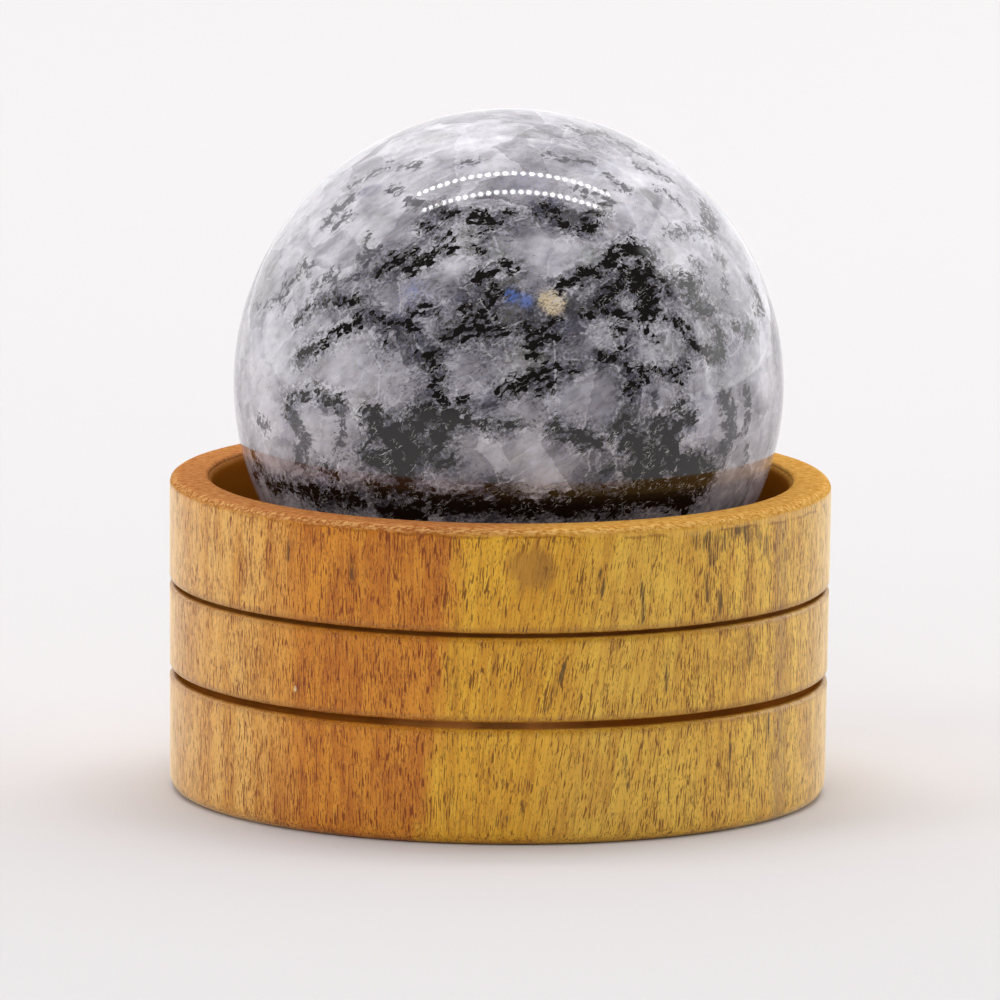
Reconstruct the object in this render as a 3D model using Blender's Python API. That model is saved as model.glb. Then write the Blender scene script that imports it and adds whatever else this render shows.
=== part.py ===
"""Decorative sphere: a polished stone ball resting in a turned wooden cup stand.

Units are metres, +Z is up. The origin is the centre of the stand's flat underside.
Run with: blender --background --python part.py
"""
import math

import bmesh
import bpy
from mathutils import Matrix, Vector

# The ball
BALL_DIAMETER = 0.0550
BALL_OFFSET = 0.0007  # how far off the stand's axis the ball has settled, towards +X

# The cup that the ball rests in
CUP_EASE = 0.0048  # how much larger the cup's radius of curvature is than the ball's
CUP_DEPTH = 0.0185  # rim to the lowest point of the cup
SEAT_CLEARANCE = 0.0003  # ball to cup, where they meet
RIM_WIDTH = 0.0039  # flat top of the wall, cup mouth to outer side
MOUTH_ROUNDING = 0.0003  # worn inner edge of the rim

# The turned outside, three bands parted by two grooves
FOOT_BAND_HEIGHT = 0.0120  # underside to the middle of the lower groove
MIDDLE_BAND_HEIGHT = 0.0090  # lower groove to upper groove
RIM_BAND_HEIGHT = 0.0107  # upper groove to the rim
SIDE_TAPER = 0.0003  # radius lost from the rim down to the foot
RIM_ROUNDING = 0.0009
FOOT_ROUNDING = 0.0013
UPPER_GROOVE_WIDTH = 0.0007
UPPER_GROOVE_DEPTH = 0.0009
LOWER_GROOVE_WIDTH = 0.0011
LOWER_GROOVE_DEPTH = 0.0011
GROOVE_LIP = 0.00025  # rounding of each groove's two edges

# Fineness of the round forms
BALL_SIDES = 64
BALL_RINGS = 32
STAND_SIDES = 64
CUP_STEPS = 10
CORNER_STEPS = 4
GROOVE_STEPS = 4
SMOOTH_ANGLE = math.radians(35.0)
MERGE_DISTANCE = 1e-7

# Sizes that follow from the ones above
ball_radius = BALL_DIAMETER / 2
cup_radius = ball_radius + CUP_EASE
stand_height = FOOT_BAND_HEIGHT + MIDDLE_BAND_HEIGHT + RIM_BAND_HEIGHT
cup_floor_height = stand_height - CUP_DEPTH
cup_centre_height = cup_floor_height + cup_radius
round_depth = min(CUP_DEPTH, cup_radius)
mouth_angle = math.acos(1.0 - round_depth / cup_radius)
mouth_radius = cup_radius * math.sin(mouth_angle)
stand_radius = mouth_radius + RIM_WIDTH
seat_reach = cup_radius - ball_radius - SEAT_CLEARANCE  # cup centre to ball centre
ball_centre_height = cup_centre_height - math.sqrt(max(0.0, seat_reach**2 - BALL_OFFSET**2))


def clear_scene():
    """Remove every object that the new file holds."""
    for item in list(bpy.data.objects):
        bpy.data.objects.remove(item, do_unlink=True)


def plain_material(name, colour, roughness):
    """Make a Principled material of one colour."""
    material = bpy.data.materials.new(name)
    material.use_nodes = True
    shader = material.node_tree.nodes["Principled BSDF"]
    shader.inputs["Base Color"].default_value = (*colour, 1.0)
    shader.inputs["Roughness"].default_value = roughness
    shader.inputs["Metallic"].default_value = 0.0
    material.diffuse_color = (*colour, 1.0)
    return material


def add_object(name, mesh_data, material):
    """Turn a bmesh into a named, smooth shaded object."""
    mesh = bpy.data.meshes.new(name)
    mesh_data.to_mesh(mesh)
    mesh_data.free()
    mesh.materials.append(material)
    mesh.shade_smooth()
    mesh.set_sharp_from_angle(angle=SMOOTH_ANGLE)
    piece = bpy.data.objects.new(name, mesh)
    bpy.context.collection.objects.link(piece)
    return piece


def side_radius(height):
    """Radius of the gently tapered outside at a height."""
    return stand_radius - SIDE_TAPER * (1.0 - height / stand_height)


def arc(centre, radius, start, end, steps):
    """Points (radius, height) along an arc, both ends included, angles from +X."""
    points = []
    for step in range(steps + 1):
        angle = start + (end - start) * step / steps
        points.append((centre[0] + radius * math.cos(angle), centre[1] + radius * math.sin(angle)))
    return points


def groove(height, width, depth):
    """A round-bottomed groove with eased edges, from its lower edge to its upper one."""
    side = side_radius(height)
    half = width / 2
    floor_rise = min(half, depth - GROOVE_LIP)
    floor_middle = side - depth + floor_rise
    points = [(side, height - half - GROOVE_LIP), (side - GROOVE_LIP, height - half)]
    for step in range(GROOVE_STEPS + 1):
        angle = math.pi * step / GROOVE_STEPS
        points.append((floor_middle - floor_rise * math.sin(angle), height - half * math.cos(angle)))
    points.append((side - GROOVE_LIP, height + half))
    points.append((side, height + half + GROOVE_LIP))
    return points


def stand_profile():
    """The stand's half section, from the underside's centre, up the outside, to the cup's."""
    foot = (side_radius(0.0) - FOOT_ROUNDING, FOOT_ROUNDING)
    rim = (stand_radius - RIM_ROUNDING, stand_height - RIM_ROUNDING)
    points = [(0.0, 0.0)]
    points += arc(foot, FOOT_ROUNDING, -math.pi / 2, 0.0, CORNER_STEPS)
    points += groove(FOOT_BAND_HEIGHT, LOWER_GROOVE_WIDTH, LOWER_GROOVE_DEPTH)
    points += groove(FOOT_BAND_HEIGHT + MIDDLE_BAND_HEIGHT, UPPER_GROOVE_WIDTH, UPPER_GROOVE_DEPTH)
    points += arc(rim, RIM_ROUNDING, 0.0, math.pi / 2, CORNER_STEPS)
    points.append((mouth_radius + MOUTH_ROUNDING, stand_height))
    if CUP_DEPTH > cup_radius:
        points.append((mouth_radius, stand_height - MOUTH_ROUNDING))
    lip_angle = mouth_angle - MOUTH_ROUNDING / cup_radius
    bowl = arc((0.0, cup_centre_height), cup_radius, lip_angle - math.pi / 2, -math.pi / 2, CUP_STEPS)
    points += bowl[:-1]
    points.append((0.0, cup_floor_height))
    return points


def make_stand():
    """Turn the stand's half section about the vertical axis."""
    mesh_data = bmesh.new()
    corners = [mesh_data.verts.new((radius, 0.0, height)) for radius, height in stand_profile()]
    edges = [mesh_data.edges.new(pair) for pair in zip(corners, corners[1:])]
    bmesh.ops.spin(
        mesh_data,
        geom=corners + edges,
        cent=(0.0, 0.0, 0.0),
        axis=(0.0, 0.0, 1.0),
        angle=math.tau,
        steps=STAND_SIDES,
        use_merge=True,
    )
    bmesh.ops.remove_doubles(mesh_data, verts=mesh_data.verts, dist=MERGE_DISTANCE)
    bmesh.ops.recalc_face_normals(mesh_data, faces=mesh_data.faces)
    wood = plain_material("lacquered_hardwood", (0.56, 0.31, 0.09), 0.38)
    return add_object("wooden_stand", mesh_data, wood)


def make_ball():
    """Make the ball where it rests in the cup."""
    mesh_data = bmesh.new()
    bmesh.ops.create_uvsphere(
        mesh_data,
        u_segments=BALL_SIDES,
        v_segments=BALL_RINGS,
        radius=ball_radius,
        matrix=Matrix.Identity(4),
    )
    stone = plain_material("polished_stone", (0.36, 0.36, 0.39), 0.10)
    ball = add_object("stone_sphere", mesh_data, stone)
    ball.location = Vector((BALL_OFFSET, 0.0, ball_centre_height))
    return ball


clear_scene()
make_stand()
make_ball()
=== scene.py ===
"""Looks of a polished stone ball with black needles, resting in a turned hardwood cup stand.

Units are metres, +Z is up. Patterns are sized in millimetres.
"""
import math

import bpy
import numpy as np
from mathutils import Matrix, Vector, noise


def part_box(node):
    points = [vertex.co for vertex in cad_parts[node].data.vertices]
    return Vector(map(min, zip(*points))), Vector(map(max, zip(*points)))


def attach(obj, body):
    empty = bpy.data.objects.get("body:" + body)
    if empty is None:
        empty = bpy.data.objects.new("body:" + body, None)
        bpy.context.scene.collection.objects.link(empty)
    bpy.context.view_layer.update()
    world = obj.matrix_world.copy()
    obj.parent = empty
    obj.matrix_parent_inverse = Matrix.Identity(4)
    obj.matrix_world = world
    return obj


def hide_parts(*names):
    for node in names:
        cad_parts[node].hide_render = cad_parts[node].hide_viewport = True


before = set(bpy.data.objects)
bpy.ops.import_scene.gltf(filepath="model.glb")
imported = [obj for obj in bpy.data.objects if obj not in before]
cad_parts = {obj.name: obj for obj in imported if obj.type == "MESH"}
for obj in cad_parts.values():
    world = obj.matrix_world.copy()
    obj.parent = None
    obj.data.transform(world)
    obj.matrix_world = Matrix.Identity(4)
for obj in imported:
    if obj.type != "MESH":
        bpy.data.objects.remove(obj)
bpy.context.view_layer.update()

# Floor, light and camera.
# A pale matt table top in a light tent: a soft ceiling with two rows of small lamps, bright walls
# at the back and sides, and a dim room in front. A long lens looks slightly down at the stand.
FLOOR_RADIUS = 4.0
FLOOR_SIDES = 96
FLOOR_COLOUR = "#CFCCCD"
ROOM_COLOUR = "#FFFFFF"
ROOM_STRENGTH = 0.08
TOP_RADIANCE = 1.65
FILL_RADIANCE = 2.85
LEFT_FILL_RADIANCE = 3.35
LEFT_RADIANCE = 0.9
RIGHT_RADIANCE = 2.0
BACK_RADIANCE = 1.1
UPPER_BACK_RADIANCE = 1.05
LAMPS_IN_ROW = 25
LAMP_SIZE = (0.037, 0.060)
LAMP_RADIANCE = 16.0
LAMP_ROWS = (
    ((-0.678, 0.148, 1.40), (0.710, 0.224, 1.40)),
    ((-0.681, 0.427, 1.40), (0.729, 0.502, 1.40)),
)
ROW_BOW = 0.05  # how far forward the middle of each row comes
stand_low, stand_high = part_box("wooden_stand")
stand_radius = (stand_high.x - stand_low.x) / 2
CAMERA_ELEVATION = math.radians(9.19)
CAMERA_ROLL = math.radians(0.615)
CAMERA_DISTANCE = 54.53 * stand_radius
CAMERA_SIDE_SHIFT = 0.0083 * stand_radius
CAMERA_RISE = 0.8722 * stand_radius
SENSOR_MM = 36.0
FOCAL_LENGTH_MM = 648.0
VIEW_REACH = 50.0


def srgb(code):
    """Linear colour of an sRGB hex value."""
    channels = [int(code[i:i + 2], 16) / 255 for i in (1, 3, 5)]
    return [c / 12.92 if c <= 0.04045 else ((c + 0.055) / 1.055) ** 2.4 for c in channels]


def soft_box(name, place, size, radiance, aim=(0.0, 0.0, 0.03), reflected=True):
    """Add a soft box aimed at a point, as bright as a white wall times its radiance."""
    place = Vector(place)
    bpy.ops.object.light_add(type="AREA", location=place)
    lamp = bpy.context.object
    lamp.name = name
    lamp.rotation_euler = (Vector(aim) - place).to_track_quat("-Z", "Y").to_euler()
    lamp.data.shape = "RECTANGLE"
    lamp.data.size = size[0]
    lamp.data.size_y = size[1]
    lamp.data.energy = radiance * math.pi * size[0] * size[1]
    lamp.visible_camera = False
    lamp.visible_glossy = reflected
    return lamp


bpy.ops.object.select_all(action="DESELECT")
bpy.ops.mesh.primitive_circle_add(vertices=FLOOR_SIDES, radius=FLOOR_RADIUS, fill_type="NGON")
floor = bpy.context.object
floor.name = "floor"
floor.data.transform(Matrix.Translation((0.0, 0.0, stand_low.z)))
floor_material = bpy.data.materials.new("matt_table_paper")
floor_material.use_nodes = True
floor_shader = floor_material.node_tree.nodes["Principled BSDF"]
floor_shader.inputs["Base Color"].default_value = (*srgb(FLOOR_COLOUR), 1.0)
floor_shader.inputs["Roughness"].default_value = 0.9
floor_shader.inputs["Specular IOR Level"].default_value = 0.2
floor.data.materials.append(floor_material)

soft_box("ceiling", (0.0, 0.10, 1.40), (1.30, 1.10), TOP_RADIANCE, reflected=False)
soft_box("front_fill", (-0.15, -1.25, 0.90), (0.90, 0.70), FILL_RADIANCE, reflected=False)
soft_box("left_fill", (-1.15, -0.45, 0.70), (0.60, 0.80), LEFT_FILL_RADIANCE, reflected=False)
soft_box("right_fill", (1.15, -0.30, 0.70), (0.40, 0.60), FILL_RADIANCE, reflected=False)
soft_box("upper_back", (0.0, 0.66, 1.44), (1.80, 1.05), UPPER_BACK_RADIANCE)
soft_box("left_wall", (-0.90, 0.55, 0.50), (1.10, 1.00), LEFT_RADIANCE, aim=(0.0, 0.55, 0.50))
soft_box("right_wall", (0.90, 0.55, 0.50), (1.10, 1.00), RIGHT_RADIANCE, aim=(0.0, 0.55, 0.50))
soft_box("back_wall", (0.0, 1.10, 0.62), (1.80, 1.24), BACK_RADIANCE, aim=(0.0, 0.0, 0.62))
for row, (first, last) in enumerate(LAMP_ROWS):
    for lamp_number in range(LAMPS_IN_ROW):
        share = lamp_number / (LAMPS_IN_ROW - 1)
        place = Vector(first).lerp(Vector(last), share)
        place.y -= ROW_BOW * 4 * share * (1 - share)
        below = (place.x, place.y, 0.0)
        small_lamp = soft_box(f"lamp_{row}_{lamp_number}", place, LAMP_SIZE, LAMP_RADIANCE, below)
        small_lamp.data.shape = "ELLIPSE"

world = bpy.data.worlds.new("room")
world.use_nodes = True
room = world.node_tree.nodes["Background"]
room.inputs["Color"].default_value = (*srgb(ROOM_COLOUR), 1.0)
room.inputs["Strength"].default_value = ROOM_STRENGTH
bpy.context.scene.world = world
bpy.context.scene.view_settings.view_transform = "Standard"

view_back = Vector((0.0, -math.cos(CAMERA_ELEVATION), math.sin(CAMERA_ELEVATION)))
level_up = Vector((0.0, math.sin(CAMERA_ELEVATION), math.cos(CAMERA_ELEVATION)))
view_right = math.cos(CAMERA_ROLL) * Vector((1, 0, 0)) + math.sin(CAMERA_ROLL) * level_up
view_up = math.cos(CAMERA_ROLL) * level_up - math.sin(CAMERA_ROLL) * Vector((1, 0, 0))
camera_place = (
    view_back * CAMERA_DISTANCE
    + view_right * CAMERA_SIDE_SHIFT
    + view_up * CAMERA_RISE
)
bpy.ops.object.camera_add()
camera = bpy.context.object
camera.matrix_world = Matrix.Translation(camera_place) @ Matrix(
    (view_right, view_up, view_back)
).transposed().to_4x4()
camera.data.sensor_width = SENSOR_MM
camera.data.lens = FOCAL_LENGTH_MM
camera.data.clip_end = VIEW_REACH
bpy.context.scene.camera = camera

# Wooden stand.
# One block of open-grained hardwood, turned on a lathe with its grain upright: a straight side
# with two burnt grooves, a flat rim of end grain and a round cup. It has one satin coat of lacquer.
MM = 0.001
STAND_STEPS = 480
SIDE_STEP = 0.38 * MM
ROUND_STEPS = 6
LIP_STEPS = 4
UNDERSIDE_STEPS = 13
RIM_STEPS = 8
CUP_STEPS = 44
SMOOTH_ANGLE = math.radians(40)
CUP_MOUTH_RADIUS = 29.2 * MM
CUP_DEPTH = 18.5 * MM
SIDE_TAPER = 0.3 * MM
RIM_ROUNDING = 0.9 * MM
FOOT_ROUNDING = 1.3 * MM
MOUTH_ROUNDING = 0.35 * MM
MOUTH_TURN = 0.012  # radians from the mouth's rounding to the cup's first ring
GROOVE_LIP = 0.44 * MM
LOWER_GROOVE = {"height": 12.0 * MM, "width": 0.68 * MM, "depth": 1.05 * MM}
UPPER_GROOVE = {"height": 21.0 * MM, "width": 0.42 * MM, "depth": 0.9 * MM}
stand_height = stand_high.z - stand_low.z
cup_radius = (CUP_MOUTH_RADIUS**2 + CUP_DEPTH**2) / (2 * CUP_DEPTH)
cup_centre_height = stand_height - CUP_DEPTH + cup_radius


def side_radius(height):
    """Radius of the tapered outside at a height."""
    return stand_radius - SIDE_TAPER * (1.0 - height / stand_height)


def arc(centre, radius, start, end, steps):
    """Points (radius, height) along an arc, both ends included."""
    angles = np.linspace(start, end, steps + 1)
    return [(centre[0] + radius * math.cos(a), centre[1] + radius * math.sin(a)) for a in angles]


def straight_side(low, high):
    """Evenly spaced points up the outside between two heights, ends left out."""
    count = max(2, round((high - low) / SIDE_STEP))
    heights = np.linspace(low, high, count + 1)[1:-1]
    return [(side_radius(height), height) for height in heights]


def groove_section(height, width, depth):
    """A round-bottomed groove, from its lower lip to its upper one."""
    lip_centre = side_radius(height) - GROOVE_LIP
    half = width / 2
    floor_centre = (side_radius(height) - depth + half, height)
    points = arc((lip_centre, height - half - GROOVE_LIP), GROOVE_LIP, 0.0, math.pi / 2, LIP_STEPS)
    points += arc(floor_centre, half, -math.pi / 2, -3 * math.pi / 2, ROUND_STEPS)
    points += arc((lip_centre, height + half + GROOVE_LIP), GROOVE_LIP, -math.pi / 2, 0.0, LIP_STEPS)
    return points


def groove_edge(groove, side):
    """Height of a groove's upper lip for side 1, or of its lower one for side -1."""
    return groove["height"] + side * (groove["width"] / 2 + GROOVE_LIP)


foot_centre = (side_radius(0) - FOOT_ROUNDING, FOOT_ROUNDING)
foot_arc = arc(foot_centre, FOOT_ROUNDING, -math.pi / 2, 0.0, ROUND_STEPS)
rim_centre = (stand_radius - RIM_ROUNDING, stand_height - RIM_ROUNDING)
rim_arc = arc(rim_centre, RIM_ROUNDING, 0.0, math.pi / 2, ROUND_STEPS)
mouth_centre = (CUP_MOUTH_RADIUS + MOUTH_ROUNDING, stand_height - MOUTH_ROUNDING)
mouth_arc = arc(mouth_centre, MOUTH_ROUNDING, math.pi / 2, math.pi, LIP_STEPS)
cup_start = math.asin((CUP_MOUTH_RADIUS - 0.1 * MM) / cup_radius) - math.pi / 2 - MOUTH_TURN
cup_arc = arc((0.0, cup_centre_height), cup_radius, cup_start, -math.pi / 2, CUP_STEPS)
underside = [(radius, 0.0) for radius in np.linspace(0.0, foot_arc[0][0], UNDERSIDE_STEPS + 1)[:-1]]
rim_flat = [
    (radius, stand_height)
    for radius in np.linspace(rim_arc[-1][0], mouth_arc[0][0], RIM_STEPS + 1)[1:-1]
]
section = underside + foot_arc
section += straight_side(FOOT_ROUNDING, groove_edge(LOWER_GROOVE, -1)) + groove_section(**LOWER_GROOVE)
section += straight_side(groove_edge(LOWER_GROOVE, 1), groove_edge(UPPER_GROOVE, -1))
section += groove_section(**UPPER_GROOVE)
section += straight_side(groove_edge(UPPER_GROOVE, 1), stand_height - RIM_ROUNDING)
section += rim_arc + rim_flat + mouth_arc + cup_arc[:-1] + [(0.0, stand_height - CUP_DEPTH)]

bpy.ops.object.select_all(action="DESELECT")
bpy.ops.mesh.primitive_plane_add(size=MM)
stand = bpy.context.object
stand.name = "turned_stand"
bpy.ops.object.mode_set(mode="EDIT")
bpy.ops.mesh.select_all(action="SELECT")
bpy.ops.mesh.merge(type="CENTER")
for start, end in zip(section, section[1:]):
    step = (end[0] - start[0], 0.0, end[1] - start[1])
    bpy.ops.mesh.extrude_region_move(TRANSFORM_OT_translate={"value": step})
bpy.ops.mesh.select_all(action="SELECT")
bpy.ops.mesh.spin(steps=STAND_STEPS, angle=math.tau, center=(0, 0, 0), axis=(0, 0, 1))
bpy.ops.mesh.select_all(action="SELECT")
bpy.ops.mesh.remove_doubles(threshold=0.001 * MM)
bpy.ops.mesh.normals_make_consistent(inside=False)
bpy.ops.object.mode_set(mode="OBJECT")
bpy.ops.object.shade_smooth_by_angle(angle=SMOOTH_ANGLE)


def read_places(piece):
    """A mesh's vertices as rows of x, y and z."""
    places = np.empty(len(piece.data.vertices) * 3, np.float32)
    piece.data.vertices.foreach_get("co", places)
    return places.reshape(-1, 3).astype(float)


def write_places(piece, places):
    """Put moved vertices back into a mesh."""
    piece.data.vertices.foreach_set("co", places.astype(np.float32).ravel())
    piece.data.update()


def set_attribute(piece, name, values):
    """Store one number for each vertex, for the material to read."""
    attribute = piece.data.attributes.new(name, "FLOAT", "POINT")
    attribute.data.foreach_set("value", np.asarray(values, np.float32))


def noise_at(places, grain, seed=0.0):
    """Smooth noise, about -1 to 1, with lumps of the given sizes in metres along x, y and z."""
    scaled = places / np.asarray(grain) + seed
    return np.array([noise.noise(Vector(place)) for place in scaled])


def rise(values, low, high):
    """0 below low, 1 above high, smooth between them."""
    t = np.clip((values - low) / (high - low), 0.0, 1.0)
    return t * t * (3 - 2 * t)


# Wear on the outside: torn groove lips, a softened rim and foot, and slight waves in both.
places = read_places(stand)
radii = np.hypot(places[:, 0], places[:, 1])
heights = places[:, 2].copy()
outward = places * [1, 1, 0] / np.maximum(radii, 1e-6)[:, None]
side_here = side_radius(heights)
on_side = rise(radii, stand_radius - 2.2 * MM, stand_radius - 1.2 * MM) * rise(heights, 0.0, 0.2 * MM)
lip_wear_and_shade = np.zeros(len(places))
groove_depth = np.zeros(len(places))
for groove in (LOWER_GROOVE, UPPER_GROOVE):
    away = np.abs(heights - groove["height"])
    near = away < groove["width"] / 2 + GROOVE_LIP * 1.1
    groove_depth = np.maximum(groove_depth, near * on_side * (side_here - radii) / groove["depth"])
    lip_gap = np.abs(away - groove["width"] / 2 - GROOVE_LIP / 2)
    lip_wear_and_shade = np.maximum(lip_wear_and_shade, 1.0 - rise(lip_gap, 0.0, 0.7 * MM))
rim_edge = 1.0 - rise(np.abs(heights - stand_height + RIM_ROUNDING / 2), 0.3 * MM, 1.3 * MM)
foot_edge = 1.0 - rise(heights, 0.4 * MM, 2.2 * MM)
rough = noise_at(places, [0.5 * MM, 0.5 * MM, 0.9 * MM], seed=3.1)
broad = noise_at(places, [5 * MM, 5 * MM, 7 * MM], seed=7.7)
shift = on_side * (0.06 * MM * rough * lip_wear_and_shade * (groove_depth < 0.5) + 0.05 * MM * broad * rim_edge)
shift += on_side * (0.03 * MM * rough * rim_edge + 0.06 * MM * broad * foot_edge)
shift -= on_side * 0.035 * MM * (rim_edge + foot_edge)
places += outward * shift[:, None]
places[:, 2] += 0.06 * MM * rough * lip_wear_and_shade * on_side
write_places(stand, places)

# What the material reads: shares from 0 to 1, and the depth inside the cup in millimetres.
set_attribute(stand, "burn", np.clip(groove_depth, 0.0, 1.0))
# The lips' share also darkens the wood beside the grooves, as painted shade.
set_attribute(stand, "lip", lip_wear_and_shade * on_side)
set_attribute(stand, "rim", rise(heights, stand_height - 1.1 * MM, stand_height - 0.25 * MM))
inside_cup = (radii < CUP_MOUTH_RADIUS + 0.2 * MM) & (heights > 5 * MM)
rim_corner_gap = np.hypot(radii - stand_radius + 0.25 * MM, heights - stand_height + 0.25 * MM)
# The pale outer edge of the rim is partly wear and partly a painted highlight.
set_attribute(stand, "worn", 1.0 - rise(rim_corner_gap, 0.10 * MM, 0.55 * MM))
# The depth inside the cup also paints the recess dark, as painted shade.
set_attribute(stand, "cup", inside_cup * (stand_height - heights) / MM)

# Marks on the front, as width and points (across, height) in millimetres: the edge of a small
# knot, dark pores and streaks, and pale nicks.
KNOT = [
    (3.6, (2.2, 28.0), (3.2, 27.5)),
    (1.4, (3.4, 29.3), (4.7, 28.5), (5.0, 27.3), (4.2, 26.3)),
    (1.2, (1.8, 25.6), (2.4, 26.4)),
]
SMUDGES = [
    (0.7, (23.5, 30.3), (23.9, 30.3)),
    (0.3, (20.0, 30.2), (20.0, 29.6)),
    (0.3, (20.6, 30.4), (20.6, 28.9)),
    (0.35, (21.3, 29.7), (21.4, 27.9)),
    (0.3, (21.0, 28.9), (21.0, 27.4)),
    (0.3, (22.0, 29.8), (22.1, 28.6)),
    (0.3, (22.9, 30.2), (22.9, 29.5)),
    (0.3, (24.6, 30.0), (24.6, 29.0)),
    (0.35, (25.6, 29.8), (25.7, 28.2)),
    (0.3, (26.3, 29.0), (26.3, 27.6)),
    (0.3, (20.4, 26.0), (20.5, 23.8)),
    (0.3, (24.9, 19.5), (24.9, 16.8)),
    (0.3, (23.2, 8.5), (23.3, 5.5)),
    (0.25, (16.6, 18.6), (16.7, 15.2)),
    (0.25, (12.5, 8.6), (13.0, 5.4)),
    (0.25, (19.2, 30.3), (19.3, 29.0)),
    (0.3, (21.8, 24.2), (21.9, 22.3)),
    (0.25, (14.2, 25.6), (14.3, 21.9)),
    (0.25, (4.8, 13.6), (5.7, 15.8), (6.4, 18.1)),
    (0.2, (10.0, 27.5), (10.1, 25.0)),
    (0.25, (-20.9, 29.0), (-20.8, 27.4)),
    (0.25, (-14.5, 28.0), (-14.4, 26.2)),
    (0.5, (0.3, 2.3), (0.6, 2.9)),
    (0.3, (19.4, 3.6), (19.5, 5.4)),
    (0.3, (26.9, 10.8), (27.0, 8.8)),
]
NICKS = [
    (0.7, (-20.2, 14.2), (-20.1, 14.5)),
    (0.35, (-6.3, 24.9), (-6.3, 24.4)),
    (0.3, (-17.5, 22.1), (-17.0, 22.1)),
    (0.3, (10.8, 20.3), (11.3, 21.4)),
]


def distance_to_strokes(places, strokes):
    """Metres inside the nearest stroke; negative outside. A stroke is (width, points) in metres."""
    nearest = np.full(len(places), -1.0)
    for width, points in strokes:
        for start, end in zip(points, points[1:]):
            along = end - start
            share = np.clip((places - start) @ along / max(along @ along, 1e-12), 0.0, 1.0)
            gap = np.linalg.norm(places - start - share[:, None] * along, axis=1)
            nearest = np.maximum(nearest, width / 2 - gap)
    return nearest


def on_stand_front(across, height):
    """Point of the stand's front surface, from millimetres."""
    return np.array([across * MM, -math.sqrt(stand_radius**2 - (across * MM) ** 2), height * MM])


for attribute_name, drawn in (("knot", KNOT), ("smudge", SMUDGES), ("nick", NICKS)):
    strokes = [(mark[0] * MM, [on_stand_front(*point) for point in mark[1:]]) for mark in drawn]
    set_attribute(stand, attribute_name, distance_to_strokes(places, strokes) / MM)


def add_node(tree, kind, inputs, output=0, **settings):
    """Add a shader node with its settings and return one of its outputs.

    Inputs go by name or number: an output to link, a number, a vector, or a hex colour.
    """
    node = tree.nodes.new("ShaderNode" + kind)
    for name, value in settings.items():
        setattr(node, name, value)
    for name, value in inputs.items():
        if isinstance(value, bpy.types.NodeSocket):
            tree.links.new(value, node.inputs[name])
        elif isinstance(value, str):
            node.inputs[name].default_value = (*srgb(value), 1.0)
        else:
            node.inputs[name].default_value = value
    return node.outputs[output]


# Hardwood, turned, sanded and lacquered once: warm brown heart to the left, golden to the right,
# in upright fibres 0.2 to 0.6 mm wide, with short dark vessel lines and a satin shine. The end
# grain of the rim and the inside of the cup are dull.
HEART_EDGE_MM = -7.55  # where the brown ends, at the foot
HEART_LEAN = 0.125
FIBRE_LEAN = 0.16  # of the fibres on the front's middle, sideways for each millimetre up
wood = bpy.data.materials.new("lacquered_hardwood")
wood.use_nodes = True
tree = wood.node_tree
smooth = {"interpolation_type": "SMOOTHSTEP"}
object_place = add_node(tree, "TexCoord", {}, "Object")
where = add_node(tree, "VectorMath", {0: object_place, "Scale": 1 / MM}, operation="SCALE")
axes = add_node(tree, "SeparateXYZ", {0: where}).node.outputs
x_mm, y_mm, z_mm = axes["X"], axes["Y"], axes["Z"]
marks = {
    name: add_node(tree, "Attribute", {}, "Fac", attribute_name=name)
    for name in ("burn", "lip", "rim", "worn", "cup", "knot", "smudge", "nick")
}

# The fibres lean on the front's middle and run straight up elsewhere.
front = add_node(tree, "MapRange", {0: y_mm, 1: 8.0, 2: -8.0}, **smooth)
lean_left = add_node(tree, "MapRange", {0: x_mm, 1: -9.0, 2: 6.0}, **smooth)
lean_right = add_node(tree, "MapRange", {0: x_mm, 1: 26.0, 2: 11.0}, **smooth)
leaning = add_node(tree, "Math", {0: lean_left, 1: lean_right}, operation="MULTIPLY")
leaning = add_node(tree, "Math", {0: leaning, 1: front}, operation="MULTIPLY")
above_middle = add_node(tree, "Math", {0: z_mm, 1: stand_height / MM / 2}, operation="SUBTRACT")
leaning = add_node(tree, "Math", {0: leaning, 1: above_middle}, operation="MULTIPLY")
fibre_x = add_node(tree, "Math", {0: leaning, 1: -FIBRE_LEAN, 2: x_mm}, operation="MULTIPLY_ADD")
along_grain = add_node(tree, "CombineXYZ", {0: fibre_x, 1: y_mm, 2: z_mm})

# Noises: where they are read, the size of their lumps in millimetres, detail and roughness.
patterns = {}
for name, read_at, lumps, detail, roughness in (
    ("border", where, (1.6, 1.6, 5.0), 3.0, 0.65),
    ("back_heart", where, (16.0, 16.0, 60.0), 2.0, 0.5),
    ("blotches", along_grain, (2.0, 2.0, 10.0), 3.0, 0.6),
    ("clouds", where, (5.0, 5.0, 9.0), 3.0, 0.6),
    ("streaks", along_grain, (0.55, 0.55, 12.0), 3.0, 0.6),
    ("fibres", along_grain, (0.20, 0.20, 4.0), 3.0, 0.65),
    ("grit", where, (0.16, 0.16, 0.22), 2.0, 0.7),
    ("vessels", along_grain, (0.135, 0.135, 1.3), 0.5, 0.5),
    ("vessel_zone", where, (1.8, 1.8, 4.0), 2.0, 0.5),
    ("small_pores", along_grain, (0.10, 0.10, 0.45), 0.5, 0.5),
    ("line_wander", where, (4.0, 4.0, 4.0), 3.0, 0.5),
    ("rim_fleck", where, (0.80, 0.26, 0.26), 3.0, 0.70),
    ("fuzz", where, (0.25, 0.25, 0.25), 2.0, 0.7),
):
    in_lumps = add_node(tree, "VectorMath", {0: read_at, 1: lumps}, operation="DIVIDE")
    noise_inputs = {"Vector": in_lumps, "Scale": 1.0, "Detail": detail, "Roughness": roughness}
    patterns[name] = add_node(tree, "TexNoise", noise_inputs)

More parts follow.
